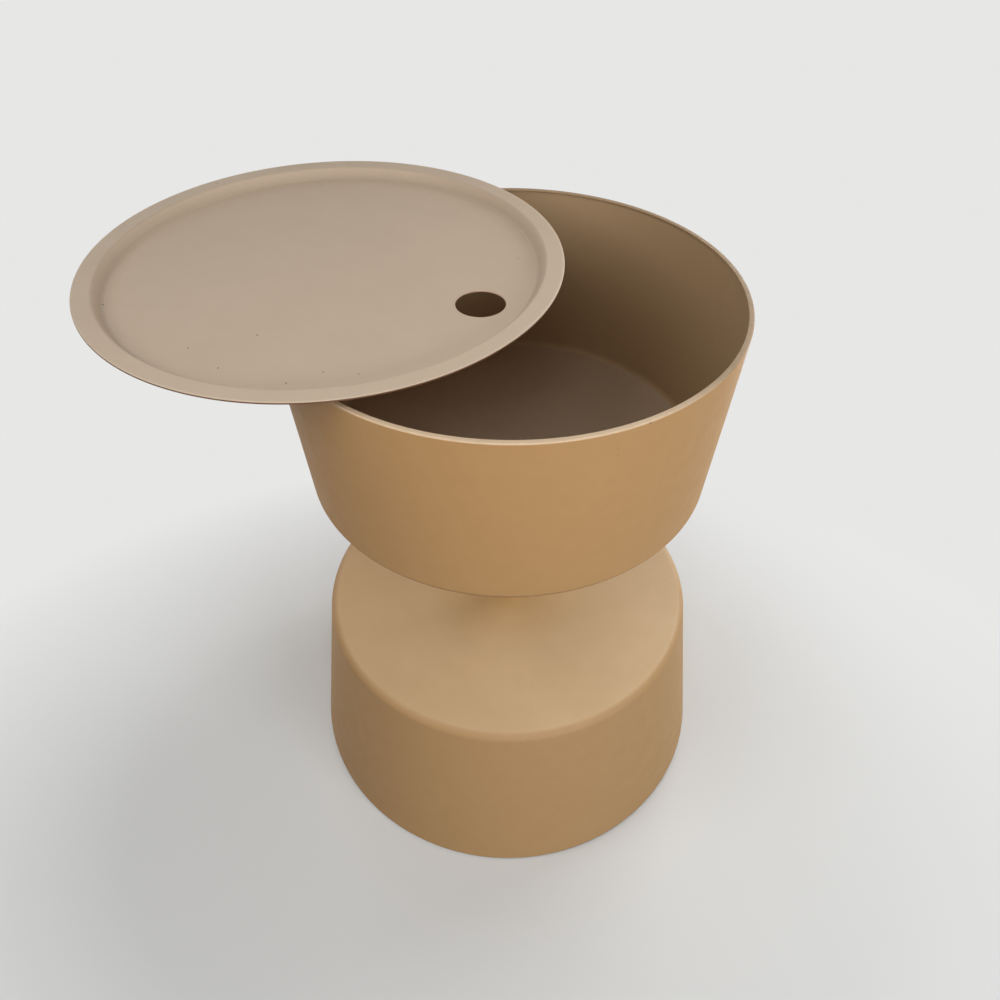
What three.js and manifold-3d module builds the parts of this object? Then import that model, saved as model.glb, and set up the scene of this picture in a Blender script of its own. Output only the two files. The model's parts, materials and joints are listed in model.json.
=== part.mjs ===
// Ice bucket coffee table: a round steel bucket on a slim post over a drum base,
// with a loose dished tray lying level across the left of the bucket's rim.
// Units are millimetres, +Z is up. The origin is on the table's axis at floor level,
// and -Y faces the viewer.
import * as THREE from "three";
import { mergeVertices } from "three/addons/utils/BufferGeometryUtils.js";
import Module from "manifold-3d";

const wasm = await Module();
wasm.setup();

// Fits, overruns and facets shared by the whole part
const seatGap = 0.3;
const slipFit = 0.35;
const overrun = 6;
const shellSegments = 72;
const fittingSegments = 16;
const bendSteps = 3;
const edgeSteps = 2;
const edgeRoundingShare = 0.4;
const hexSides = 6;

// Overall forms: drum base, waist and bucket, each seen about a third of the height
const footRadius = 232.5;
const baseHeight = 204.5;
const shoulderRadius = 209;
const waistHeight = 206.5;
const bucketFloorRadius = 205;
const bucketHeight = 199;
const rimRadius = 225;

// Sheet steel of the drum and the bucket, and the bucket's rim, which is turned inwards
const sheet = 2;
const insideBend = 7;
const edgeClearance = 1.5;
const rimWidth = 5.3;
const rimRounding = 1.6;
const mouthRounding = 0.6;

// Loose tray, its finger hole, and where it lies on the rim
const trayRadius = 230.3;
const trayFlangeInner = 212.3;
const trayDishRadius = 206;
const trayDepth = 11;
const traySheet = 2;
const trayInsideBend = 3.5;
const trayShift = 181.5;
const trayHeading = THREE.MathUtils.degToRad(167.8);
const fingerHoleRadius = 23.2;
const fingerHoleOffset = 165;
const fingerHoleHeading = THREE.MathUtils.degToRad(-24);

// Post, and the socket flange that carries the bucket on it
const postRadius = 19;
const postWall = 2.5;
const flangeRadius = 65;
const flangeThickness = 6;
const collarRadius = 27;
const collarDepth = 46;
const grubRadius = 3;
const grubSink = 0.5;
const grubKeyRadius = 1.7;
const grubKeyDepth = 2.5;
const grubHeightShares = [0.28, 0.7];
const grubHeading = THREE.MathUtils.degToRad(90);

// Welded studs under the bucket, with their washers and nuts
const studCount = 4;
const studCircleRadius = 45;
const studRadius = 4;
const studLength = 18;
const washerRadius = 8;
const washerThickness = 1.6;
const nutAcrossFlats = 13;
const nutHeight = 6.5;

// Ballast plate, the ring that it hangs from, and the glides with their screws
const standoff = 3.5;
const plateThickness = 6;
const ringWidth = 30;
const ringThickness = 4;
const glideCount = 4;
const glideRadius = 13;
const glideChamfer = 0.8;
const screwRadius = 3;
const screwTip = 1.5;
const screwHeadRadius = 5.5;
const screwHeadDepth = 1.2;
const screwSink = 0.6;

// Levels that follow from the sizes above
const bucketBottom = baseHeight + waistHeight;
const rimHeight = bucketBottom + bucketHeight;
const rimUnderside = rimHeight - sheet;
const plateTop = standoff + plateThickness;
const ringBottom = plateTop + seatGap;
const ringTop = ringBottom + ringThickness;
const flangeTop = bucketBottom - seatGap;
const flangeBottom = flangeTop - flangeThickness;
const collarBottom = flangeBottom - collarDepth;
const washerTop = flangeBottom - seatGap;
const nutTop = washerTop - washerThickness - seatGap;

// Tapered walls: each lean is the wall's angle from upright, positive where it widens upwards
const baseLean = Math.atan2(shoulderRadius - footRadius, baseHeight);
const bucketLean = Math.atan2(rimRadius - bucketFloorRadius, bucketHeight);
const baseWall = sheet / Math.cos(baseLean);
const bucketWall = sheet / Math.cos(bucketLean);
const baseOuter = (z) => footRadius + z * Math.tan(baseLean);
const baseInner = (z) => baseOuter(z) - baseWall;
const bucketOuter = (z) => bucketFloorRadius + (z - bucketBottom) * Math.tan(bucketLean);
const bucketInner = (z) => bucketOuter(z) - bucketWall;

// Radii that follow from the drum's inside
const plateRadius = baseInner(plateTop) - slipFit;
const ringRadius = baseInner(ringTop) - slipFit;
const glideCircleRadius = ringRadius - ringWidth / 2;

// Finishes
const powderCoat = { color: 0xc79a66, roughness: 0.72, metalness: 0 };
const trayCoat = { color: 0xc9ad8d, roughness: 0.75, metalness: 0 };
const zincSteel = { color: 0xb4b6b8, roughness: 0.35, metalness: 1 };
const blackOxide = { color: 0x2b2b2d, roughness: 0.5, metalness: 0.8 };
const blackRubber = { color: 0x1c1c1c, roughness: 0.85, metalness: 0 };

const table = new THREE.Group();

// A closed geometry as a solid that can be joined and cut.
function solidOf(geometry) {
  const bare = geometry.clone();
  bare.deleteAttribute("normal");
  bare.deleteAttribute("uv");
  const merged = mergeVertices(bare);
  return new wasm.Manifold(
    new wasm.Mesh({
      numProp: 3,
      vertProperties: merged.attributes.position.array,
      triVerts: new Uint32Array(merged.index.array),
    }),
  );
}

function cutAll(geometry, cutters) {
  let solid = solidOf(geometry);
  for (const cutter of cutters) solid = solid.subtract(solidOf(cutter));
  const mesh = solid.getMesh();
  const result = new THREE.BufferGeometry();
  result.setAttribute("position", new THREE.BufferAttribute(mesh.vertProperties, 3));
  result.setIndex(new THREE.BufferAttribute(mesh.triVerts, 1));
  result.computeVertexNormals();
  return result;
}

function addPiece(name, geometry, finish, parent = table) {
  const mesh = new THREE.Mesh(geometry, new THREE.MeshStandardMaterial(finish));
  mesh.name = name;
  parent.add(mesh);
  return mesh;
}

// Points of the round that replaces a corner between its two neighbours on an outline.
function rounded(before, corner, after, radius, steps) {
  const at = new THREE.Vector2(...corner);
  const back = new THREE.Vector2(before[0], before[1]).sub(at).normalize();
  const on = new THREE.Vector2(after[0], after[1]).sub(at).normalize();
  const half = Math.acos(THREE.MathUtils.clamp(back.dot(on), -1, 1)) / 2;
  const centre = back.clone().add(on).normalize().multiplyScalar(radius / Math.sin(half)).add(at);
  const reach = radius / Math.tan(half);
  const start = back.multiplyScalar(reach).add(at).sub(centre);
  const end = on.multiplyScalar(reach).add(at).sub(centre);
  const sweep = Math.atan2(start.cross(end), start.dot(end));
  return Array.from({ length: steps + 1 }, (_, i) => {
    const a = start.angle() + (sweep * i) / steps;
    return [centre.x + radius * Math.cos(a), centre.y + radius * Math.sin(a)];
  });
}

// A solid of revolution about Z from corners [radius, height, rounding, steps], listed
// anticlockwise with the radius to the right. One that starts on the axis also ends there.
function turned(corners, segments) {
  const points = corners.flatMap(([r, z, rounding = 0, steps = bendSteps], i) => {
    const before = corners.at(i - 1);
    const after = corners[(i + 1) % corners.length];
    return rounding > 0 ? rounded(before, [r, z], after, rounding, steps) : [[r, z]];
  });
  if (points[0][0] > 0) points.push(points[0]);
  const profile = points.map(([r, z]) => new THREE.Vector2(r, z));
  return new THREE.LatheGeometry(profile, segments).rotateX(Math.PI / 2);
}

function disc(radius, bottom, top, segments = fittingSegments) {
  return turned([[0, bottom], [radius, bottom], [radius, top], [0, top]], segments);
}

function washer(outer, inner, bottom, top, segments = fittingSegments) {
  return turned([[inner, bottom], [outer, bottom], [outer, top], [inner, top]], segments);
}

// A round bar lying along a radius of the table, between two distances from the axis.
function radialBar(radius, from, to, height, heading, sides = fittingSegments) {
  return disc(radius, from, to, sides).rotateY(Math.PI / 2).rotateZ(heading).translate(0, 0, height);
}

// Places evenly spread on a circle, the first one half a step round from +X.
function spread(count, radius) {
  return Array.from({ length: count }, (_, i) => {
    const a = ((i + 0.5) * 2 * Math.PI) / count;
    return { number: i + 1, x: radius * Math.cos(a), y: radius * Math.sin(a) };
  });
}

// Upright round cutters at each of a set of places, longer than what they cut.
function drills(places, radius, bottom, top) {
  return places.map(({ x, y }) => disc(radius, bottom - overrun, top + overrun).translate(x, y, 0));
}

// Drum: flat top with a hole for the post, a soft shoulder and a wall that widens downwards
function addDrum() {
  const hole = postRadius + slipFit;
  const underside = baseHeight - sheet;
  const shell = turned(
    [
      [baseInner(edgeClearance), edgeClearance],
      [baseOuter(edgeClearance), edgeClearance],
      [shoulderRadius, baseHeight, insideBend + sheet],
      [hole, baseHeight],
      [hole, underside],
      [baseInner(underside), underside, insideBend],
    ],
    shellSegments,
  );
  addPiece("base_shell", shell, powderCoat);
}

// Bucket: flat floor, a soft corner, a wall that widens upwards and a narrow flat rim
function addBucket() {
  const floor = bucketBottom + sheet;
  const mouthRadius = rimRadius - rimWidth;
  const shell = turned(
    [
      [0, bucketBottom],
      [bucketFloorRadius, bucketBottom, insideBend + sheet],
      [rimRadius, rimHeight, rimRounding, edgeSteps],
      [mouthRadius, rimHeight, mouthRounding, edgeSteps],
      [mouthRadius, rimUnderside],
      [bucketInner(rimUnderside), rimUnderside],
      [bucketInner(floor), floor, insideBend],
      [0, floor],
    ],
    shellSegments,
  );
  addPiece("bucket_shell", shell, powderCoat);
}

// Tray: a shallow dish with a flat flange and one finger hole, loose on the rim
function addTray() {
  const slope = Math.atan2(trayDepth, trayFlangeInner - trayDishRadius);
  const outset = traySheet * Math.tan(slope / 2);
  const edgeRounding = traySheet * edgeRoundingShare;
  const dishTop = traySheet;
  const flangeUnder = trayDepth;
  const flangeUpper = trayDepth + traySheet;
  const outsideBend = trayInsideBend + traySheet;
  const blank = turned(
    [
      [0, 0],
      [trayDishRadius + outset, 0, outsideBend],
      [trayFlangeInner + outset, flangeUnder, trayInsideBend],
      [trayRadius, flangeUnder, edgeRounding, edgeSteps],
      [trayRadius, flangeUpper, edgeRounding, edgeSteps],
      [trayFlangeInner, flangeUpper, outsideBend],
      [trayDishRadius, dishTop, trayInsideBend],
      [0, dishTop],
    ],
    shellSegments,
  );
  const hole = disc(fingerHoleRadius, -overrun, dishTop + overrun, shellSegments / 2).translate(
    fingerHoleOffset * Math.cos(fingerHoleHeading),
    fingerHoleOffset * Math.sin(fingerHoleHeading),
    0,
  );
  const place = new THREE.Group();
  place.position.set(
    trayShift * Math.cos(trayHeading),
    trayShift * Math.sin(trayHeading),
    rimHeight + seatGap,
  );
  table.add(place);
  addPiece("tray_lid", cutAll(blank, [hole]), trayCoat, place);
}

// Studs, washers and nuts that hold the socket flange to the bucket's underside
function addBucketFasteners(places) {
  for (const { number, x, y } of places) {
    const stud = disc(studRadius, flangeTop - studLength, flangeTop).translate(x, y, 0);
    addPiece(`bucket_stud_${number}`, stud, zincSteel);
    const ring = washer(washerRadius, studRadius + slipFit, washerTop - washerThickness, washerTop);
    addPiece(`flange_washer_${number}`, ring.translate(x, y, 0), zincSteel);
    addPiece(`flange_nut_${number}`, nut(studRadius + seatGap).translate(x, y, nutTop), zincSteel);
  }
}

// A hexagon nut that hangs down from z = 0.
function nut(boreRadius) {
  const corner = nutAcrossFlats / 2 / Math.cos(Math.PI / hexSides);
  const corners = Array.from({ length: hexSides }, (_, i) => {
    const a = (i * 2 * Math.PI) / hexSides;
    return new THREE.Vector2(corner * Math.cos(a), corner * Math.sin(a));
  });
  const outline = new THREE.Shape(corners);
  outline.holes.push(new THREE.Path().absarc(0, 0, boreRadius, 0, 2 * Math.PI, true));
  const options = { depth: nutHeight, bevelEnabled: false, curveSegments: fittingSegments / 2 };
  return new THREE.ExtrudeGeometry(outline, options).translate(0, 0, -nutHeight);
}

// Socket flange: a disc under the bucket with a collar that slips over the post
function addSocket(places) {
  const bore = postRadius + slipFit;
  const blank = turned(
    [
      [0, flangeBottom],
      [bore, flangeBottom],
      [bore, collarBottom],
      [collarRadius, collarBottom],
      [collarRadius, flangeBottom],
      [flangeRadius, flangeBottom],
      [flangeRadius, flangeTop],
      [0, flangeTop],
    ],
    shellSegments / 2,
  );
  const grubHeights = grubHeightShares.map((share) => collarBottom + share * collarDepth);
  const grubHoles = grubHeights.map((height) =>
    radialBar(grubRadius + seatGap, postRadius, collarRadius + overrun, height, grubHeading),
  );
  const studHoles = drills(places, studRadius + slipFit, flangeBottom, flangeTop);
  addPiece("post_socket", cutAll(blank, [...studHoles, ...grubHoles]), powderCoat);

  const grubTip = postRadius + seatGap;
  const grubEnd = collarRadius - grubSink;
  grubHeights.forEach((height, i) => {
    const body = radialBar(grubRadius, grubTip, grubEnd, height, grubHeading);
    const keyTip = grubEnd - grubKeyDepth;
    const key = radialBar(grubKeyRadius, keyTip, grubEnd + overrun, height, grubHeading, hexSides);
    addPiece(`socket_grub_${i + 1}`, cutAll(body, [key]), blackOxide);
  });
}

// Post: a round tube that stands on the ballast plate and passes through the drum's top
function addPost() {
  const tube = washer(
    postRadius,
    postRadius - postWall,
    plateTop + seatGap,
    flangeBottom - seatGap,
    shellSegments / 2,
  );
  addPiece("post_tube", tube, powderCoat);
}

// Ballast plate inside the drum's foot, and the ring above it that the screws draw it to
function addBallast(places) {
  const holeRadius = screwRadius + slipFit;
  const plate = disc(plateRadius, standoff, plateTop, shellSegments);
  const plateHoles = drills(places, holeRadius, standoff, plateTop);
  addPiece("ballast_plate", cutAll(plate, plateHoles), powderCoat);
  const ring = washer(ringRadius, ringRadius - ringWidth, ringBottom, ringTop, shellSegments);
  const ringHoles = drills(places, holeRadius, ringBottom, ringTop);
  addPiece("base_ring", cutAll(ring, ringHoles), powderCoat);
}

// Rubber glides, each held by a screw that runs up through the plate into the ring
function addGlides(places) {
  const glideTop = standoff - seatGap;
  const headTop = screwSink + screwHeadDepth;
  const recessRadius = screwHeadRadius + slipFit;
  const recessTop = headTop + seatGap;
  const screwTop = ringTop + screwTip;
  for (const { number, x, y } of places) {
    const glide = turned(
      [
        [recessRadius, 0],
        [glideRadius - glideChamfer, 0],
        [glideRadius, glideChamfer],
        [glideRadius, glideTop],
        [screwRadius + slipFit, glideTop],
        [screwRadius + slipFit, recessTop],
        [recessRadius, recessTop],
      ],
      fittingSegments,
    );
    addPiece(`glide_${number}`, glide.translate(x, y, 0), blackRubber);
    const screw = turned(
      [
        [0, screwSink],
        [screwHeadRadius, screwSink],
        [screwHeadRadius, headTop],
        [screwRadius, headTop],
        [screwRadius, screwTop],
        [0, screwTop],
      ],
      fittingSegments,
    );
    addPiece(`glide_screw_${number}`, screw.translate(x, y, 0), zincSteel);
  }
}

const studPlaces = spread(studCount, studCircleRadius);
const glidePlaces = spread(glideCount, glideCircleRadius);
addDrum();
addBallast(glidePlaces);
addGlides(glidePlaces);
addPost();
addSocket(studPlaces);
addBucketFasteners(studPlaces);
addBucket();
addTray();

export default table;
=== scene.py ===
"""Looks of the ice bucket coffee table: round shells, powder coat, fasteners, light and camera.

Lengths are in metres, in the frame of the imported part: +Z up, -Y towards the viewer, and the
table's axis at X = Y = 0.
"""

import json
import math

import bmesh
import bpy
from mathutils import Matrix, Vector


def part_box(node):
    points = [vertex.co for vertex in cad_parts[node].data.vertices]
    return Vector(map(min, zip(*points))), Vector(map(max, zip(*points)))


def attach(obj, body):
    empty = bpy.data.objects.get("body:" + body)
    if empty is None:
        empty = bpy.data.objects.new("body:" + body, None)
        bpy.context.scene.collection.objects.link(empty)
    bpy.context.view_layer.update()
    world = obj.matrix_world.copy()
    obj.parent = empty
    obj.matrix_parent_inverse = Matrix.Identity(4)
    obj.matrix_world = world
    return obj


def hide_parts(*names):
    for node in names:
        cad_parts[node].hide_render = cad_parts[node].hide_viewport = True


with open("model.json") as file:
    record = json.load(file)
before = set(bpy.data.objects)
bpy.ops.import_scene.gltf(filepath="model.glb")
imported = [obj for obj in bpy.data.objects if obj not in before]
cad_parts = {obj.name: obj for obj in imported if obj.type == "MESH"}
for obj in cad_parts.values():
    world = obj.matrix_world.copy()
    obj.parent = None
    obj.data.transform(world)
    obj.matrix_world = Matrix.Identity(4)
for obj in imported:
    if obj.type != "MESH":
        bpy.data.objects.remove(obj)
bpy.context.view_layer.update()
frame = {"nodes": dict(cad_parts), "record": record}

# Facets of the round pieces and of their bends. A straight longer than four holds gets a point one
# hold from each of its ends, so that smooth shading stays within the bends.
SHELL_SEGMENTS = 288
FITTING_SEGMENTS = 96
SMALL_SEGMENTS = 48
BEND_STEPS = 10
EDGE_STEPS = 5
HOLD = 0.00035
SMOOTH_ANGLE = math.radians(28)
OVERRUN = 0.004

# Sheet shells, as the part has them
SHEET = 0.002
INSIDE_BEND = 0.007
RIM_RADIUS = 0.225
RIM_WIDTH = 0.0053
RIM_ROUNDING = 0.0016
MOUTH_ROUNDING = 0.0006
BUCKET_FLOOR_RADIUS = 0.205
FOOT_RADIUS = 0.2325
SHOULDER_RADIUS = 0.209
CUT_EDGE_ROUNDING = 0.0005

# Tray
TRAY_CENTRE = tuple(sum(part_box("tray_lid"), Vector()) / 2)[:2]
TRAY_FLANGE_INNER = 0.2123
TRAY_DISH_RADIUS = 0.206
TRAY_SHEET = 0.002
TRAY_FOOT_BEND = 0.0055
TRAY_FLANGE_BEND = 0.004
TRAY_EDGE_ROUNDING = 0.0008
HOLE_RADIUS = 0.0232
HOLE_OFFSET = 0.165
HOLE_HEADING = math.radians(-24)
HOLE_EDGE_ROUNDING = 0.0007
HOLE_LAND = 0.0021
HOLE_PLACE = Vector((math.cos(HOLE_HEADING), math.sin(HOLE_HEADING))) * HOLE_OFFSET
FLOOR_RINGS = 12

# Post, socket flange and its fasteners
POST_RADIUS = 0.019
POST_WALL = 0.0025
SLIP_FIT = 0.00035
FLANGE_THICKNESS = 0.006
COLLAR_RADIUS = 0.027
COLLAR_FILLET = 0.004
FLANGE_EDGE_ROUNDING = 0.0008
GRUB_HOLE_RADIUS = 0.0033
STUD_RADIUS = 0.004
THREAD_PITCH = 0.00125
THREAD_DEPTH = 0.0007
THREAD_STEPS = 8
STUD_CHAMFER = 0.0008
WASHER_HOLE_RADIUS = 0.00435
WASHER_ROUNDING = 0.0003
NUT_ACROSS_FLATS = 0.013
NUT_BORE_RADIUS = 0.0043
NUT_CHAMFER = math.radians(30)
HEX_SIDES = 6
GLIDE_CHAMFER = 0.0008
GLIDE_RECESS_RADIUS = 0.00585

# Camera of the photograph
CAMERA_PLACE = (-0.00893, -0.75165, 1.05383)
CAMERA_TILT = math.radians(52.62)
CAMERA_LENS = 33.3
CAMERA_SENSOR = 36
CAMERA_SHIFT_Y = -0.1


# Outlines and round bodies


def rounded(before, corner, after, radius, steps):
    """Points of the round that replaces a corner between its two neighbours on an outline."""
    at = Vector(corner)
    back = (Vector(before) - at).normalized()
    on = (Vector(after) - at).normalized()
    half = back.angle(on) / 2
    centre = at + (back + on).normalized() * (radius / math.sin(half))
    reach = radius / math.tan(half)
    start = at + back * reach - centre
    end = at + on * reach - centre
    first = math.atan2(start.y, start.x)
    sweep = (math.atan2(end.y, end.x) - first + math.pi) % (2 * math.pi) - math.pi
    angles = [first + sweep * i / steps for i in range(steps + 1)]
    return [(centre.x + radius * math.cos(a), centre.y + radius * math.sin(a)) for a in angles]


def outline(corners, closed=True):
    """A profile from corners (radius, height, rounding, steps), each long straight held flat."""
    points = []
    for i, (r, z, *rest) in enumerate(corners):
        rounding = rest[0] if rest else 0
        steps = rest[1] if len(rest) > 1 else BEND_STEPS
        before = corners[i - 1][:2]
        after = corners[(i + 1) % len(corners)][:2]
        points += rounded(before, (r, z), after, rounding, steps) if rounding else [(r, z)]
    held = []
    for i, point in enumerate(points):
        held.append(point)
        if not closed and i == len(points) - 1:
            break
        here, there = Vector(point), Vector(points[(i + 1) % len(points)])
        if (there - here).length > 4 * HOLD:
            along = (there - here).normalized() * HOLD
            held += [tuple(here + along), tuple(there - along)]
    return held


def ring_of(bm, radius, height, segments, centre=(0.0, 0.0)):
    """Points evenly round an upright axis."""
    points = []
    for i in range(segments):
        turn = 2 * math.pi * i / segments
        x = centre[0] + radius * math.cos(turn)
        y = centre[1] + radius * math.sin(turn)
        points.append(bm.verts.new((x, y, height)))
    return points


def bridge(bm, lower, upper):
    """Quads between two rings of as many points."""
    count = len(lower)
    for i in range(count):
        j = (i + 1) % count
        bm.faces.new((lower[i], lower[j], upper[j], upper[i]))


def cap(bm, ring, height, up):
    """A fan from a ring to a point on the axis."""
    tip = bm.verts.new((0, 0, height))
    count = len(ring)
    for i in range(count):
        j = (i + 1) % count
        bm.faces.new((ring[i], ring[j], tip) if up else (ring[j], ring[i], tip))


def finish_mesh(name, bm):
    """A shaded object from a finished bmesh, its faces turned outwards."""
    bmesh.ops.recalc_face_normals(bm, faces=bm.faces)
    mesh = bpy.data.meshes.new(name)
    bm.to_mesh(mesh)
    bm.free()
    return shaded(name, mesh)


def shaded(name, mesh):
    """A new object for the mesh, smooth but for its sharp edges."""
    mesh.polygons.foreach_set("use_smooth", [True] * len(mesh.polygons))
    mesh.set_sharp_from_angle(angle=SMOOTH_ANGLE)
    made = bpy.data.objects.new(name, mesh)
    bpy.context.scene.collection.objects.link(made)
    return made


def turned(name, corners, segments):
    """A solid of revolution about Z. An outline that starts on the axis also ends on it."""
    on_axis = corners[0][0] == 0
    profile = outline(corners, closed=not on_axis)
    bm = bmesh.new()
    if on_axis:
        rings = [ring_of(bm, r, z, segments) for r, z in profile[1:-1]]
        cap(bm, rings[0], profile[0][1], up=False)
        cap(bm, rings[-1], profile[-1][1], up=True)
    else:
        rings = [ring_of(bm, r, z, segments) for r, z in profile]
        rings.append(rings[0])
    for lower, upper in zip(rings, rings[1:]):
        bridge(bm, lower, upper)
    return finish_mesh(name, bm)


def combined(target, operation, tools):
    """Target cut by, or kept only inside, each of the tools, which are used up."""
    for tool in tools:
        step = target.modifiers.new("step", "BOOLEAN")
        step.operation = operation
        step.solver = "EXACT"
        step.object = tool
    evaluated = target.evaluated_get(bpy.context.evaluated_depsgraph_get())
    mesh = bpy.data.meshes.new_from_object(evaluated)
    name = target.name
    for used in [target, *tools]:
        bpy.data.objects.remove(used)
    return shaded(name, mesh)


def moved(obj, matrix):
    """The object with its mesh moved. Its origin stays, as the finishes are laid out from it."""
    obj.data.transform(matrix)
    return obj


def settle(piece, body, nodes, finish):
    """The piece rides on a body, stands for its nodes and takes its slot's finish."""
    piece.data.materials.clear()
    piece.data.materials.append(finish)
    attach(piece, body)
    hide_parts(*nodes)


def middle(node):
    low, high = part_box(node)
    return (low + high) / 2


# Materials


class Shader:
    """A material's node tree, with short calls for the nodes that the finishes use."""

    def __init__(self, name):
        self.material = bpy.data.materials.new(name)
        self.material.use_nodes = True
        self.tree = self.material.node_tree
        self.tree.nodes.clear()
        self.out = self.tree.nodes.new("ShaderNodeOutputMaterial")
        coordinates = self.tree.nodes.new("ShaderNodeTexCoord")
        self.place = coordinates.outputs["Object"]
        self.normal = coordinates.outputs["Normal"]

    def node(self, kind, settings=None, **inputs):
        made = self.tree.nodes.new(kind)
        for key, value in (settings or {}).items():
            setattr(made, key, value)
        for key, value in inputs.items():
            self.put(made.inputs[key.replace("_", " ")], value)
        return made

    def put(self, socket, value):
        if isinstance(value, bpy.types.NodeSocket):
            self.tree.links.new(value, socket)
        else:
            socket.default_value = value

    def noise(self, size, detail=2.0, roughness=0.5, distortion=0.0):
        """Noise from 0 to 1 whose features are about size metres across."""
        made = self.node(
            "ShaderNodeTexNoise",
            Vector=self.place,
            Scale=1 / size,
            Detail=detail,
            Roughness=roughness,
            Distortion=distortion,
        )
        return made.outputs["Fac"]

    def spread(self, value, low, high, to_low=0.0, to_high=1.0):
        """The value's range from low to high laid over another range, and held at its ends."""
        made = self.node(
            "ShaderNodeMapRange",
            {"clamp": True},
            Value=value,
            From_Min=low,
            From_Max=high,
            To_Min=to_low,
            To_Max=to_high,
        )
        return made.outputs["Result"]

    def math(self, operation, first, second=0.0):
        made = self.tree.nodes.new("ShaderNodeMath")
        made.operation = operation
        self.put(made.inputs[0], first)
        self.put(made.inputs[1], second)
        return made.outputs[0]

    def vector(self, operation, first, *others):
        made = self.tree.nodes.new("ShaderNodeVectorMath")
        made.operation = operation
        for socket, value in zip(made.inputs, (first, *others)):
            self.put(socket, value)
        one_number = operation in ("LENGTH", "DISTANCE", "DOT_PRODUCT")
        return made.outputs["Value" if one_number else "Vector"]

    def reach(self, centre=(0.0, 0.0), stretch=(1.0, 1.0)):
        """Distance from an upright axis, with X and Y stretched first."""
        shift = (-centre[0] * stretch[0], -centre[1] * stretch[1], 0.0)
        level = self.vector("MULTIPLY_ADD", self.place, (*stretch, 0.0), shift)
        return self.vector("LENGTH", level)

    def part_of(self, vector, axis):
        return self.node("ShaderNodeSeparateXYZ", Vector=vector).outputs[axis]

    def mix(self, factor, first, second, blend="MIX"):
        made = self.tree.nodes.new("ShaderNodeMix")
        made.data_type = "RGBA"
        made.blend_type = blend
        self.put(made.inputs["Factor"], factor)
        self.put(made.inputs["A"], first)
        self.put(made.inputs["B"], second)
        return made.outputs["Result"]

    def bump(self, height, strength, distance):
        made = self.node("ShaderNodeBump", Strength=strength, Distance=distance, Height=height)
        return made.outputs["Normal"]

    def surface(self, **inputs):
        shader = self.node("ShaderNodeBsdfPrincipled", **inputs)
        self.tree.links.new(shader.outputs[0], self.out.inputs["Surface"])
        return self.material


# Powder coat: sizes of its uneven places, what part of a noise's range counts, and its tones
NOISE_SPAN = (0.3, 0.7)
BROAD_SIZE = 0.16
BROAD_TONES = (0.975, 1.03)
PATCH_SIZE = 0.018
PATCH_SHARE = 0.5
PATCH_TONE = 0.95
GRAIN_SIZE = 0.0009
GRAIN_SPAN = (0.35, 0.65)
GRAIN_SHARE = 0.5
GRAIN_TONE = 1.08
PEBBLE_SIZE = 0.0011
PEBBLE_SHARE = 0.7
COAT_ROUGHNESS = (0.56, 0.66)
COAT_BUMP = 0.35
COAT_BUMP_DEPTH = 0.00018
COAT_IOR = 1.5

# Pale layer on level faces, part dust and part painted light from above, stronger towards the side
# painted as lit: where it lies thickest, how fast it ends on a bend, and its drifts
LIT_SIDE_LEAN = (0.8, -0.6, 0.0)
LIT_SIDE_REACH = 0.2
DUST_AND_TOP_LIGHT_FALL = 11.0
LIT_SIDE_SPREAD = (0.6, 1.4)
DRIFT_SIZE = 0.06
DRIFT_SHARES = (0.9, 1.1)

# Base: painted shade under the bucket, darker and warmer round the post, between these distances
# from the table's axis
POST_SHADE_TINT = (0.97, 0.9, 0.7, 1.0)
POST_SHADE_ENDS = (0.03, 0.105)

# Bucket: painted shade inside; rim with a painted highlight at the front, up to these places along
# Y, and painted shade elsewhere; and painted shade along the bottom bend, by the upward part of
# the surface's normal
INSIDE_SHADE_TINT = (0.765, 0.91, 1.23, 1.0)
RIM_HIGHLIGHT = (0.79, 0.585, 0.388, 1.0)
RIM_SHADE = (0.39, 0.265, 0.152, 1.0)
RIM_HIGHLIGHT_ENDS = (-0.195, -0.135)
RIM_BAND_DEPTH = 0.0014
RIM_PATCH_SIZE = 0.012
RIM_PATCH_SPAN = (0.3, 0.55)
RIM_PATCH_SHARES = (0.7, 0.95)
BEND_SHADE = (0.36, 0.28, 0.22, 1.0)
BEND_SHARE = 0.95
BEND_FACING = (-0.65, -0.2)
FLAT_FACING = (-0.96, -0.78)

# Tray: painted highlight on the edge's top and painted shade below it at the front, foot of the
# dish's slope darker, lip of the hole pale
TRAY_EDGE_HIGHLIGHT = (0.79, 0.625, 0.46, 1.0)
TRAY_EDGE_SHADE = (0.15, 0.065, 0.026, 1.0)
EDGE_BAND_WIDTH = 0.0026
LEAST_HIGHLIGHT = 0.2
EDGE_SHADE_BELOW = (0.05 * TRAY_SHEET, 0.2 * TRAY_SHEET)
EDGE_SHADE_BEFORE = (0.05, 0.15)
FOOT_LINE_OUT = 0.0012
FOOT_LINE_WIDTH = 0.0042
FOOT_LINE_SHARE = 0.28
FOOT_LINE_TONE = (0.3, 0.22, 0.15, 1.0)
LIP_ENDS = (HOLE_RADIUS + 0.0003, HOLE_RADIUS + 0.0009)
LIP_SHARE = 0.8
HOLE_EDGE_TONE = (0.75, 0.52, 0.38, 1.0)

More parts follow.
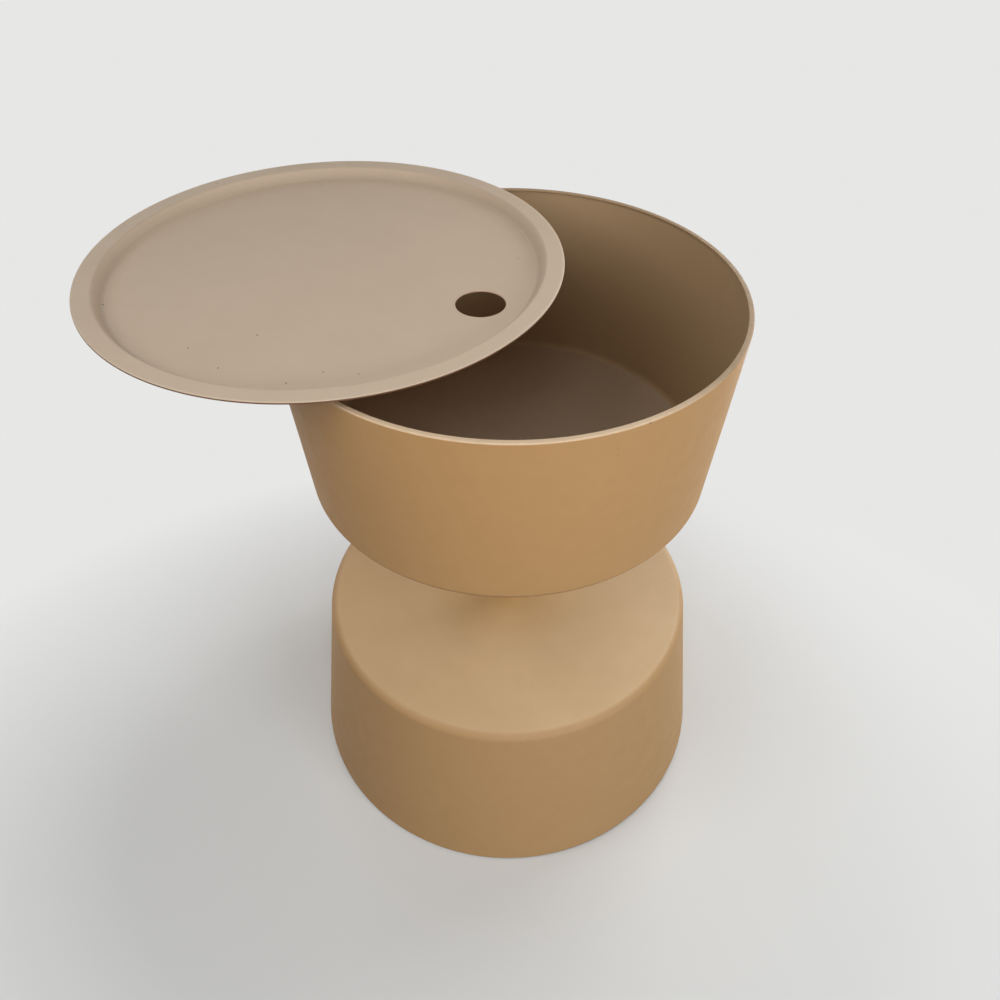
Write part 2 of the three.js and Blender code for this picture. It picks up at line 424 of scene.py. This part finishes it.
# Specks, and marks (x, y, z, radius) where the photograph shows them
DARK_SPECK = (0.035, 0.024, 0.016, 1.0)
SPECK_CELL = 0.045
SPECK_RADIUS = 0.0007
SPECK_RARITY = 0.86
SPECK_SHARE = 0.75
MARK_CORE = 0.6
MARK_SHARE = 0.85
TRAY_MARKS = (
    (-0.2193, -0.081, 0.6123, 0.0010),
    (-0.2737, -0.101, 0.6123, 0.0009),
    (-0.3695, -0.0316, 0.6129, 0.0012),
    (-0.2412, -0.1303, 0.6123, 0.0009),
    (-0.1538, -0.136, 0.6123, 0.0009),
    (-0.1813, -0.1512, 0.6123, 0.0009),
    (-0.124, -0.1388, 0.6123, 0.0007),
    (0.0088, 0.0564, 0.6123, 0.0008),
    (-0.322, 0.2073, 0.6233, 0.0009),
)
BUCKET_MARKS = (
    (0.1063, -0.1977, 0.6084, 0.0009),
    (0.1078, -0.1969, 0.6082, 0.0007),
    (0.0821, -0.2071, 0.5912, 0.0006),
    (0.0828, -0.206, 0.5831, 0.0006),
)


def tone(colour, share):
    """The same colour, lighter or darker."""
    return (*(min(1.0, c * share) for c in colour), 1.0)


def specks(shader):
    """Rare small dots: 1 inside a speck, 0 elsewhere. Rarity is the share of cells with none."""
    cells = shader.node(
        "ShaderNodeTexVoronoi",
        {"feature": "F1"},
        Vector=shader.place,
        Scale=1 / SPECK_CELL,
        Randomness=1.0,
    )
    near = shader.math("LESS_THAN", cells.outputs["Distance"], SPECK_RADIUS / SPECK_CELL)
    chance = shader.node("ShaderNodeSeparateColor", Color=cells.outputs["Color"])
    chosen = shader.math("GREATER_THAN", chance.outputs["Red"], SPECK_RARITY)
    return shader.math("MULTIPLY", near, chosen)


def powder_coat(name, colour, dust_and_top_light, details, centre=(0.0, 0.0)):
    """Matte fine-textured powder coat, uneven in tone, with a pale layer on level faces that is
    part dust and part painted light from above, stronger towards the side painted as lit.
    """
    shader = Shader(name)
    *dust_and_top_light_colour, dust_and_top_light_share = dust_and_top_light
    broad = shader.spread(shader.noise(BROAD_SIZE, detail=3), *NOISE_SPAN)
    patch = shader.spread(shader.noise(PATCH_SIZE, detail=4, roughness=0.6), *NOISE_SPAN)
    grain = shader.noise(GRAIN_SIZE, detail=3, roughness=0.7)
    coat = shader.mix(broad, *(tone(colour, share) for share in BROAD_TONES))
    coat = shader.mix(shader.math("MULTIPLY", patch, PATCH_SHARE), coat, tone(colour, PATCH_TONE))
    grainy = shader.spread(grain, *GRAIN_SPAN, 0.0, GRAIN_SHARE)
    coat = shader.mix(grainy, coat, tone(colour, GRAIN_TONE))
    upward = shader.math("MAXIMUM", shader.part_of(shader.normal, "Z"), 0.0)
    # Pale layer on level faces: part dust, part painted light from above, stronger towards the
    # painted lit side.
    dust_and_top_light_mask = shader.math("MULTIPLY", shader.math("POWER", upward, DUST_AND_TOP_LIGHT_FALL), dust_and_top_light_share)
    lit_side = shader.spread(lean_to_lit_side(shader, centre), -LIT_SIDE_REACH, LIT_SIDE_REACH, *LIT_SIDE_SPREAD)
    dust_and_top_light_mask = shader.math("MULTIPLY", dust_and_top_light_mask, lit_side)
    drift = shader.noise(DRIFT_SIZE, detail=6, roughness=0.65)
    drift = shader.spread(drift, *NOISE_SPAN, *DRIFT_SHARES)
    coat = shader.mix(shader.math("MULTIPLY", dust_and_top_light_mask, drift), coat, (*dust_and_top_light_colour, 1.0))
    coat = details(shader, coat)
    coat = shader.mix(shader.math("MULTIPLY", specks(shader), SPECK_SHARE), coat, DARK_SPECK)
    pebbling = shader.math("MULTIPLY", shader.noise(PEBBLE_SIZE, roughness=0.6), PEBBLE_SHARE)
    height = shader.math("ADD", pebbling, shader.math("MULTIPLY", grain, 1 - PEBBLE_SHARE))
    return shader.surface(
        Base_Color=coat,
        Roughness=shader.spread(patch, 0.0, 1.0, *COAT_ROUGHNESS),
        Normal=shader.bump(height, strength=COAT_BUMP, distance=COAT_BUMP_DEPTH),
        IOR=COAT_IOR,
    )


def lean_to_lit_side(shader, centre):
    """How far a place lies from the centre towards the side where the painted light is strongest.
    """
    from_centre = shader.vector("SUBTRACT", shader.place, (*centre, 0.0))
    return shader.vector("DOT_PRODUCT", from_centre, LIT_SIDE_LEAN)


def marked(shader, coat, marks):
    """Small dark round marks at given places, soft at their edges."""
    for x, y, z, radius in marks:
        away = shader.vector("DISTANCE", shader.place, (x, y, z))
        mark = shader.spread(away, radius * MARK_CORE, radius, MARK_SHARE, 0.0)
        coat = shader.mix(mark, coat, DARK_SPECK)
    return coat


def drum_details(shader, coat):
    """Painted shade round the post, under the bucket: the coat darker and warmer there."""
    post_shade = shader.spread(shader.reach(), *POST_SHADE_ENDS, 1.0, 0.0)
    return shader.mix(post_shade, coat, POST_SHADE_TINT, blend="MULTIPLY")


def bucket_details(shader, coat):
    """Painted shade inside, a painted highlight on the rim's front with painted shade on the rest
    of the rim, and painted shade along the bottom bend.
    """
    low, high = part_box("bucket_shell")
    slope = (RIM_RADIUS - BUCKET_FLOOR_RADIUS) / (high.z - low.z)
    height = shader.part_of(shader.place, "Z")
    upright = shader.math("SUBTRACT", shader.reach(), shader.math("MULTIPLY", height, slope))
    within = shader.math("LESS_THAN", upright, BUCKET_FLOOR_RADIUS - low.z * slope - SHEET / 2)
    between = shader.math("LESS_THAN", height, high.z - SHEET / 2)
    above = shader.math("GREATER_THAN", height, low.z + SHEET / 2)
    inside = shader.math("MULTIPLY", shader.math("MULTIPLY", within, between), above)
    # Painted shade: the inside darker and cooler than the outside.
    coat = shader.mix(inside, coat, INSIDE_SHADE_TINT, "MULTIPLY")
    # Painted highlight on the rim's front and painted shade on the rest of the rim, patchy.
    front = shader.spread(shader.part_of(shader.place, "Y"), *RIM_HIGHLIGHT_ENDS, 1.0, 0.0)
    rim = shader.mix(front, RIM_SHADE, RIM_HIGHLIGHT)
    edge_band = shader.spread(height, high.z - RIM_BAND_DEPTH, high.z - RIM_BAND_DEPTH / 2)
    patchy = shader.noise(RIM_PATCH_SIZE, detail=5, roughness=0.7)
    patchy = shader.spread(patchy, *RIM_PATCH_SPAN, *RIM_PATCH_SHARES)
    coat = shader.mix(shader.math("MULTIPLY", edge_band, patchy), coat, rim)
    # Painted shade along the bottom bend, on faces turned down.
    upward = shader.part_of(shader.normal, "Z")
    turned_down = shader.spread(upward, *BEND_FACING, BEND_SHARE, 0.0)
    not_flat = shader.spread(upward, *FLAT_FACING)
    bend = shader.math("MULTIPLY", turned_down, not_flat)
    coat = shader.mix(bend, coat, BEND_SHADE, "MULTIPLY")
    return marked(shader, coat, BUCKET_MARKS)


def tray_details(shader, coat):
    """Painted highlight on the edge's top, painted shade below it at the front, and a darker line
    along the foot of the slope.
    """
    low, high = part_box("tray_lid")
    radius = (high.x - low.x) / 2
    out = shader.reach(TRAY_CENTRE)
    foot = shader.math("ABSOLUTE", shader.math("SUBTRACT", out, TRAY_DISH_RADIUS + FOOT_LINE_OUT))
    line = shader.spread(foot, 0.0, FOOT_LINE_WIDTH, FOOT_LINE_SHARE, 0.0)
    coat = shader.mix(line, coat, FOOT_LINE_TONE)
    # Painted highlight on the edge's top, strongest towards the lit side.
    edge_band = shader.spread(out, radius - EDGE_BAND_WIDTH, radius - EDGE_BAND_WIDTH / 2)
    lean = lean_to_lit_side(shader, TRAY_CENTRE)
    lit = shader.spread(lean, -LIT_SIDE_REACH / 2, LIT_SIDE_REACH / 2, LEAST_HIGHLIGHT, 1.0)
    coat = shader.mix(shader.math("MULTIPLY", edge_band, lit), coat, TRAY_EDGE_HIGHLIGHT)
    # Painted shade on the lower part of the edge, at the front only.
    below = shader.math("SUBTRACT", high.z, shader.part_of(shader.place, "Z"))
    lower = shader.spread(below, *EDGE_SHADE_BELOW)
    outermost = shader.math("GREATER_THAN", out, radius - EDGE_BAND_WIDTH)
    before = shader.math("SUBTRACT", TRAY_CENTRE[1], shader.part_of(shader.place, "Y"))
    facing = shader.spread(before, *EDGE_SHADE_BEFORE)
    edge_shade = shader.math("MULTIPLY", shader.math("MULTIPLY", lower, outermost), facing)
    coat = shader.mix(edge_shade, coat, TRAY_EDGE_SHADE)
    hole_at = (TRAY_CENTRE[0] + HOLE_PLACE.x, TRAY_CENTRE[1] + HOLE_PLACE.y)
    lip = shader.spread(shader.reach(hole_at), *LIP_ENDS, LIP_SHARE, 0.0)
    coat = shader.mix(lip, coat, HOLE_EDGE_TONE)
    return marked(shader, coat, TRAY_MARKS)


def plated_steel(name, colour, smoothest, roughest):
    """Plated or blackened steel: fine brushing and slight stains."""
    shader = Shader(name)
    stain = shader.spread(shader.noise(STAIN_SIZE, detail=5, roughness=0.65), *STAIN_SPAN)
    scratch = shader.noise(SCRATCH_SIZE, detail=3, roughness=0.7, distortion=SCRATCH_WAVER)
    coat = shader.mix(stain, *(tone(colour, share) for share in STEEL_TONES))
    return shader.surface(
        Base_Color=coat,
        Metallic=1.0,
        Roughness=shader.spread(scratch, *NOISE_SPAN, smoothest, roughest),
        Normal=shader.bump(scratch, strength=SCRATCH_BUMP, distance=SCRATCH_DEPTH),
    )


def black_rubber(name):
    """Matte rubber with a fine grain, dusty in places."""
    shader = Shader(name)
    grain = shader.noise(RUBBER_GRAIN_SIZE, detail=4, roughness=0.7)
    dusty = shader.spread(shader.noise(DUST_SIZE, detail=4), *DUST_SPAN, 0.0, DUST_SHARE)
    return shader.surface(
        Base_Color=shader.mix(dusty, RUBBER_BLACK, RUBBER_DUST),
        Roughness=RUBBER_ROUGHNESS,
        Normal=shader.bump(grain, strength=RUBBER_BUMP, distance=RUBBER_BUMP_DEPTH),
    )


# Steel and rubber of the fittings
STAIN_SIZE = 0.004
STAIN_SPAN = (0.3, 0.75)
SCRATCH_SIZE = 0.0004
SCRATCH_WAVER = 1.5
SCRATCH_BUMP = 0.25
SCRATCH_DEPTH = 0.00006
STEEL_TONES = (1.05, 0.72)
ZINC = (0.62, 0.63, 0.64)
BLACK_OXIDE = (0.05, 0.05, 0.055)
RUBBER_GRAIN_SIZE = 0.0006
RUBBER_BUMP = 0.4
RUBBER_BUMP_DEPTH = 0.0001
RUBBER_ROUGHNESS = 0.82
RUBBER_BLACK = (0.012, 0.012, 0.012, 1.0)
RUBBER_DUST = (0.055, 0.05, 0.044, 1.0)
DUST_SIZE = 0.006
DUST_SPAN = (0.35, 0.8)
DUST_SHARE = 0.4

# Colours of the coats, and of the pale layer on them (dust and painted top light) with the share
# of the coat that it covers
BUCKET_COLOUR = (0.53, 0.292, 0.114)
BUCKET_DUST_AND_TOP_LIGHT = (0.8, 0.55, 0.33, 0.4)
# Painted shade: the drum's coat is the bucket's paint, darkened by about a tenth.
DRUM_SHADED_COLOUR = (0.478, 0.277, 0.117)
DRUM_DUST_AND_TOP_LIGHT = (0.91, 0.68, 0.41, 0.42)
TRAY_COLOUR = (0.555, 0.425, 0.305)
TRAY_DUST_AND_TOP_LIGHT = (0.785, 0.617, 0.457, 0.5)

FINISHES = {
    "table_coat": powder_coat("table_coat_fine", DRUM_SHADED_COLOUR, DRUM_DUST_AND_TOP_LIGHT, drum_details),
    "bucket_coat": powder_coat("bucket_coat_fine", BUCKET_COLOUR, BUCKET_DUST_AND_TOP_LIGHT, bucket_details),
    "tray_coat": powder_coat(
        "tray_coat_fine", TRAY_COLOUR, TRAY_DUST_AND_TOP_LIGHT, tray_details, centre=TRAY_CENTRE
    ),
    "zinc_steel": plated_steel("zinc_steel_fine", ZINC, smoothest=0.27, roughest=0.44),
    "black_oxide": plated_steel("black_oxide_fine", BLACK_OXIDE, smoothest=0.38, roughest=0.55),
    "black_rubber": black_rubber("black_rubber_fine"),
}


# Tapered walls


def wall_of(low_radius, high_radius, height):
    """Outer radius at a height above the wall's foot, and the sheet's width along the radius."""
    lean = math.atan2(high_radius - low_radius, height)
    return lambda z: low_radius + z * math.tan(lean), SHEET / math.cos(lean)


def make_bucket():
    """A tapered bowl with a flat rim turned inwards."""
    low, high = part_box("bucket_shell")
    outer, wall = wall_of(BUCKET_FLOOR_RADIUS, RIM_RADIUS, high.z - low.z)
    floor = low.z + SHEET
    mouth = RIM_RADIUS - RIM_WIDTH
    underside = high.z - SHEET
    corners = [
        (0, low.z),
        (BUCKET_FLOOR_RADIUS, low.z, INSIDE_BEND + SHEET),
        (RIM_RADIUS, high.z, RIM_ROUNDING, EDGE_STEPS),
        (mouth, high.z, MOUTH_ROUNDING, EDGE_STEPS),
        (mouth, underside, CUT_EDGE_ROUNDING, EDGE_STEPS),
        (outer(underside - low.z) - wall, underside),
        (outer(SHEET) - wall, floor, INSIDE_BEND),
        (0, floor),
    ]
    bucket = turned("bucket_form", corners, SHELL_SEGMENTS)
    settle(bucket, "table", ["bucket_shell"], FINISHES["bucket_coat"])


def make_drum():
    """A tapered drum, open underneath, with the post's hole in its top."""
    low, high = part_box("base_shell")
    outer, wall = wall_of(FOOT_RADIUS, SHOULDER_RADIUS, high.z)
    hole = POST_RADIUS + SLIP_FIT
    underside = high.z - SHEET
    corners = [
        (outer(low.z) - wall, low.z, CUT_EDGE_ROUNDING, EDGE_STEPS),
        (outer(low.z), low.z, CUT_EDGE_ROUNDING, EDGE_STEPS),
        (SHOULDER_RADIUS, high.z, INSIDE_BEND + SHEET),
        (hole, high.z, CUT_EDGE_ROUNDING, EDGE_STEPS),
        (hole, underside),
        (outer(underside) - wall, underside, INSIDE_BEND),
    ]
    drum = turned("base_form", corners, SHELL_SEGMENTS)
    settle(drum, "table", ["base_shell"], FINISHES["table_coat"])


# Tray, its hole included, as one skin of rings


def make_tray():
    low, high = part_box("tray_lid")
    centre = (low + high) / 2
    radius = (high.x - low.x) / 2
    depth = high.z - low.z - TRAY_SHEET
    slope = math.atan2(depth, TRAY_FLANGE_INNER - TRAY_DISH_RADIUS)
    outset = TRAY_SHEET * math.tan(slope / 2)
    top = TRAY_SHEET
    rim = depth + TRAY_SHEET
    corners = [
        (0, 0),
        (TRAY_DISH_RADIUS + outset, 0, TRAY_FOOT_BEND + TRAY_SHEET),
        (TRAY_FLANGE_INNER + outset, depth, TRAY_FLANGE_BEND - TRAY_SHEET),
        (radius, depth, TRAY_EDGE_ROUNDING, EDGE_STEPS),
        (radius, rim, TRAY_EDGE_ROUNDING, EDGE_STEPS),
        (TRAY_FLANGE_INNER, rim, TRAY_FLANGE_BEND),
        (TRAY_DISH_RADIUS, top, TRAY_FOOT_BEND),
        (0, top),
    ]
    skin = outline(corners, closed=False)[2:-2]
    hole_outer = HOLE_RADIUS + HOLE_LAND
    hole_corners = [
        (hole_outer, 0),
        (HOLE_RADIUS, 0, HOLE_EDGE_ROUNDING, EDGE_STEPS),
        (HOLE_RADIUS, top, HOLE_EDGE_ROUNDING, EDGE_STEPS),
        (hole_outer, top),
    ]
    bm = bmesh.new()
    rings = [ring_of(bm, r, z, SHELL_SEGMENTS) for r, z in skin]
    hole_skin = outline(hole_corners, closed=False)
    lip = [ring_of(bm, r, z, SHELL_SEGMENTS, HOLE_PLACE) for r, z in hole_skin]
    across = floor_rings(bm, skin[-1][0], hole_outer, top)
    below = floor_rings(bm, skin[0][0], hole_outer, 0)
    path = [*rings, *across, *reversed(lip), *reversed(below), rings[0]]
    for one, other in zip(path, path[1:]):
        bridge(bm, one, other)
    tray = finish_mesh("tray_form", bm)
    moved(tray, Matrix.Translation((centre.x, centre.y, low.z)))
    settle(tray, "tray", ["tray_lid"], FINISHES["tray_coat"])


def floor_rings(bm, outer, inner, height):
    """Rings on the flat floor, from just inside its edge to just outside the off-centre hole."""
    rings = []
    for i in range(1, FLOOR_RINGS):
        share = i / FLOOR_RINGS
        radius = outer + (inner - outer) * share
        rings.append(ring_of(bm, radius, height, SHELL_SEGMENTS, HOLE_PLACE * share))
    return rings


# Post, socket flange and fasteners


def make_post():
    low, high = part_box("post_tube")
    inner = POST_RADIUS - POST_WALL
    corners = [
        (inner, low.z),
        (POST_RADIUS, low.z, CUT_EDGE_ROUNDING, EDGE_STEPS),
        (POST_RADIUS, high.z, CUT_EDGE_ROUNDING, EDGE_STEPS),
        (inner, high.z),
    ]
    post = turned("post_form", corners, FITTING_SEGMENTS)
    settle(post, "table", ["post_tube"], FINISHES["table_coat"])


def make_socket():
    low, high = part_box("post_socket")
    flange_radius = (high.x - low.x) / 2
    flange_bottom = high.z - FLANGE_THICKNESS
    bore = POST_RADIUS + SLIP_FIT
    corners = [
        (0, flange_bottom),
        (bore, flange_bottom),
        (bore, low.z, CUT_EDGE_ROUNDING, EDGE_STEPS),
        (COLLAR_RADIUS, low.z, FLANGE_EDGE_ROUNDING, EDGE_STEPS),
        (COLLAR_RADIUS, flange_bottom, COLLAR_FILLET),
        (flange_radius, flange_bottom, FLANGE_EDGE_ROUNDING, EDGE_STEPS),
        (flange_radius, high.z, FLANGE_EDGE_ROUNDING, EDGE_STEPS),
        (0, high.z),
    ]
    socket = turned("socket_form", corners, FITTING_SEGMENTS)
    drills = []
    for node in nodes_named("bucket_stud_"):
        at = middle(node)
        drill = disc("drill", STUD_RADIUS + SLIP_FIT, flange_bottom - OVERRUN, high.z + OVERRUN)
        drills.append(moved(drill, Matrix.Translation((at.x, at.y, 0))))
    for node in nodes_named("socket_grub_"):
        at = middle(node)
        drill = disc("drill", GRUB_HOLE_RADIUS, POST_RADIUS, COLLAR_RADIUS + OVERRUN)
        lying = Matrix.Translation((0, 0, at.z)) @ Matrix.Rotation(-math.pi / 2, 4, "X")
        drills.append(moved(drill, lying))
    socket = combined(socket, "DIFFERENCE", drills)
    settle(socket, "table", ["post_socket"], FINISHES["table_coat"])


def disc(name, radius, low, high):
    """An upright cylinder about Z."""
    return turned(name, [(0, low), (radius, low), (radius, high), (0, high)], SMALL_SEGMENTS)


def nodes_named(prefix):
    return sorted(n for n in frame["nodes"] if n.startswith(prefix))


def make_studs():
    for node in nodes_named("bucket_stud_"):
        low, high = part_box(node)
        stud = threaded_rod(node + "_form", STUD_RADIUS, high.z - low.z)
        moved(stud, Matrix.Translation((middle(node).x, middle(node).y, low.z)))
        settle(stud, "table", [node], FINISHES["zinc_steel"])


def threaded_rod(name, radius, length):
    """A rod with a helical thread, standing on z = 0, its lower end chamfered."""
    steps = math.ceil(length / THREAD_PITCH * THREAD_STEPS)
    bm = bmesh.new()
    rings = []
    for k in range(steps + 1):
        z = length * k / steps
        ring = []
        for i in range(SMALL_SEGMENTS):
            share = i / SMALL_SEGMENTS
            turn = (z / THREAD_PITCH - share) % 1
            groove = THREAD_DEPTH * (1 - abs(2 * turn - 1))
            r = min(radius - groove, radius - STUD_CHAMFER + z)
            a = 2 * math.pi * share
            ring.append(bm.verts.new((r * math.cos(a), r * math.sin(a), z)))
        rings.append(ring)
    cap(bm, rings[0], 0, up=False)
    cap(bm, rings[-1], length, up=True)
    for lower, upper in zip(rings, rings[1:]):
        bridge(bm, lower, upper)
    return finish_mesh(name, bm)


def make_washers():
    for node in nodes_named("flange_washer_"):
        low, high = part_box(node)
        radius = (high.x - low.x) / 2
        corners = [
            (WASHER_HOLE_RADIUS, low.z, WASHER_ROUNDING, EDGE_STEPS),
            (radius, low.z, WASHER_ROUNDING, EDGE_STEPS),
            (radius, high.z, WASHER_ROUNDING, EDGE_STEPS),
            (WASHER_HOLE_RADIUS, high.z, WASHER_ROUNDING, EDGE_STEPS),
        ]
        washer = turned(node + "_form", corners, SMALL_SEGMENTS)
        moved(washer, Matrix.Translation((middle(node).x, middle(node).y, 0)))
        settle(washer, "table", [node], FINISHES["zinc_steel"])


def make_nuts():
    for node in nodes_named("flange_nut_"):
        low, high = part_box(node)
        nut = hexagon(node + "_form", NUT_ACROSS_FLATS / 2, high.z - low.z)
        moved(nut, Matrix.Translation((middle(node).x, middle(node).y, low.z)))
        settle(nut, "table", [node], FINISHES["zinc_steel"])


def hexagon(name, half_width, height):
    """A nut standing on z = 0: a hexagon with its corners turned down, and a countersunk bore."""
    corner = half_width / math.cos(math.pi / HEX_SIDES)
    bm = bmesh.new()
    rings = [ring_of(bm, corner, z, HEX_SIDES) for z in (0, height)]
    cap(bm, rings[0], 0, up=False)
    cap(bm, rings[1], height, up=True)
    bridge(bm, *rings)
    blank = finish_mesh(name, bm)
    drop = (corner - half_width) * math.tan(NUT_CHAMFER)
    outer = corner + OVERRUN
    sink = drop + OVERRUN * math.tan(NUT_CHAMFER)
    crown = [
        (0, 0),
        (half_width, 0),
        (outer, sink),
        (outer, height - sink),
        (half_width, height),
        (0, height),
    ]
    blank = combined(blank, "INTERSECT", [turned("crown", crown, SMALL_SEGMENTS)])
    wide = NUT_BORE_RADIUS + WASHER_ROUNDING
    bore = [
        (0, -OVERRUN),
        (wide, -OVERRUN),
        (wide, 0),
        (NUT_BORE_RADIUS, WASHER_ROUNDING),
        (NUT_BORE_RADIUS, height - WASHER_ROUNDING),
        (wide, height),
        (wide, height + OVERRUN),
        (0, height + OVERRUN),
    ]
    return combined(blank, "DIFFERENCE", [turned("bore", bore, SMALL_SEGMENTS)])


def make_glides():
    for node in nodes_named("glide_"):
        if "screw" in node:
            continue
        low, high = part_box(node)
        radius = (high.x - low.x) / 2
        corners = [
            (GLIDE_RECESS_RADIUS, low.z, CUT_EDGE_ROUNDING, EDGE_STEPS),
            (radius - GLIDE_CHAMFER, low.z, CUT_EDGE_ROUNDING, EDGE_STEPS),
            (radius, low.z + GLIDE_CHAMFER, CUT_EDGE_ROUNDING, EDGE_STEPS),
            (radius, high.z, CUT_EDGE_ROUNDING, EDGE_STEPS),
            (GLIDE_RECESS_RADIUS, high.z),
        ]
        glide = turned(node + "_form", corners, SMALL_SEGMENTS)
        moved(glide, Matrix.Translation((middle(node).x, middle(node).y, 0)))
        settle(glide, "table", [node], FINISHES["black_rubber"])


def dress_nodes():
    """The CAD nodes that stay in sight get the same finishes as the pieces made here."""
    slots = {row["node"]: row["material_slot"] for row in frame["record"]["subparts"]}
    for name, obj in frame["nodes"].items():
        for held in obj.material_slots:
            held.material = FINISHES[slots[name]]


# Studio: pale floor, white surroundings, soft lamps and the photograph's camera

FLOOR_REACH = 9.0
FLOOR_PALE = (0.80, 0.80, 0.785)
FLOOR_BOUNCE = (0.12, 0.115, 0.11)
FADE_CENTRE = (0.0, -0.15)
FADE_STRETCH = (1.0, 1.4)
FADE_START = 0.45
FADE_END = 0.85
SKY_LIGHT = 0.03
SKY_TINT = (0.98, 1.0, 1.01, 1.0)
BACKDROP = 0.80
BACKDROP_TINT = (1.0, 1.0, 0.99, 1.0)
LAMP_TARGET = (0, 0, 0.4)
WHITE = (1.0, 1.0, 1.0)
COOL = (0.95, 1.01, 1.06)
LAMPS = (
    # name, place, point it faces, width, height, power in watts, colour
    ("wall_right_panel", (0.9, 0.6, 0.8), (0.9, 0, 0.8), 1.2, 1.6, 15.5, WHITE),
    ("wall_left_panel", (-0.9, 0.6, 0.3), (-0.9, 0, 0.3), 1.2, 0.5, 1.8, WHITE),
    ("right_panel", (1.7, -2.0, 1.0), LAMP_TARGET, 1.5, 1.2, 35.0, COOL),
    ("front_panel", (0, -2.6, 1.0), LAMP_TARGET, 1.5, 1.2, 12.3, WHITE),
    ("left_panel", (-1.6, -0.92, 2.24), LAMP_TARGET, 1.8, 1.8, 23, WHITE),
    ("back_panel", (-1.4, 2.0, 1.3), LAMP_TARGET, 1.8, 1.8, 10, WHITE),
    ("near_panel", (0, -0.84, 1.4), LAMP_TARGET, 0.45, 0.45, 2.2, WHITE),
)


def shown_to_eye(tree):
    """1 for rays that show a background, seen straight or mirrored, and 0 for lighting rays."""
    path = tree.nodes.new("ShaderNodeLightPath")
    total = path.outputs["Is Camera Ray"]
    for other in ("Is Glossy Ray", "Is Transmission Ray"):
        add = tree.nodes.new("ShaderNodeMath")
        add.operation = "MAXIMUM"
        tree.links.new(total, add.inputs[0])
        tree.links.new(path.outputs[other], add.inputs[1])
        total = add.outputs[0]
    return total


def blend_shaders(tree, share, first, second):
    """The first shader where the share is 0 and the second where it is 1."""
    choice = tree.nodes.new("ShaderNodeMixShader")
    tree.links.new(share, choice.inputs[0])
    tree.links.new(first.outputs[0], choice.inputs[1])
    tree.links.new(second.outputs[0], choice.inputs[2])
    return choice


def make_floor():
    """A pale floor that keeps the table's shadow and fades into the backdrop further out."""
    bm = bmesh.new()
    rings = [ring_of(bm, r, 0, SMALL_SEGMENTS) for r in (FLOOR_REACH / 4, FLOOR_REACH)]
    cap(bm, rings[0], 0, up=True)
    bridge(bm, rings[1], rings[0])
    floor = finish_mesh("floor", bm)
    shader = Shader("floor_pale")
    tree = shader.tree
    near = shader.node("ShaderNodeBsdfDiffuse", Color=(*FLOOR_PALE, 1.0))
    far = shader.node("ShaderNodeEmission", Color=BACKDROP_TINT, Strength=BACKDROP)
    unseen = shader.node("ShaderNodeBsdfDiffuse", Color=(*FLOOR_BOUNCE, 1.0))
    reach = shader.reach(FADE_CENTRE, FADE_STRETCH)
    seen = blend_shaders(tree, shader.spread(reach, FADE_START, FADE_END), near, far)
    choice = blend_shaders(tree, shown_to_eye(tree), unseen, seen)
    tree.links.new(choice.outputs[0], shader.out.inputs["Surface"])
    floor.data.materials.append(shader.material)


def make_world():
    """A white backdrop to the eye, and a faint even light on the part."""
    world = bpy.data.worlds.new("studio")
    world.use_nodes = True
    tree = world.node_tree
    tree.nodes.clear()
    light = tree.nodes.new("ShaderNodeBackground")
    light.inputs["Color"].default_value = SKY_TINT
    light.inputs["Strength"].default_value = SKY_LIGHT
    shown = tree.nodes.new("ShaderNodeBackground")
    shown.inputs["Color"].default_value = BACKDROP_TINT
    shown.inputs["Strength"].default_value = BACKDROP
    out = tree.nodes.new("ShaderNodeOutputWorld")
    choice = blend_shaders(tree, shown_to_eye(tree), light, shown)
    tree.links.new(choice.outputs[0], out.inputs["Surface"])
    bpy.context.scene.world = world


def make_lamps():
    """Soft rectangular panels round the part."""
    for name, place, faced, width, height, power, colour in LAMPS:
        data = bpy.data.lights.new(name, "AREA")
        data.shape = "RECTANGLE"
        data.size = width
        data.size_y = height
        data.energy = power
        data.color = colour
        lamp = bpy.data.objects.new(name, data)
        lamp.location = place
        aim = Vector(faced) - Vector(place)
        lamp.rotation_euler = aim.to_track_quat("-Z", "Y").to_euler()
        bpy.context.scene.collection.objects.link(lamp)


def make_camera():
    """The photograph's camera, as fitted to the outlines of the part's round edges."""
    data = bpy.data.cameras.new("camera")
    data.lens = CAMERA_LENS
    data.sensor_width = CAMERA_SENSOR
    data.shift_y = CAMERA_SHIFT_Y
    camera = bpy.data.objects.new("camera", data)
    camera.location = CAMERA_PLACE
    camera.rotation_euler = (CAMERA_TILT, 0, 0)
    bpy.context.scene.collection.objects.link(camera)
    bpy.context.scene.camera = camera


make_camera()
make_world()
make_lamps()
make_floor()
dress_nodes()
make_drum()
make_post()
make_socket()
make_studs()
make_washers()
make_nuts()
make_glides()
make_bucket()
make_tray()
bpy.context.scene.view_settings.view_transform = "Standard"
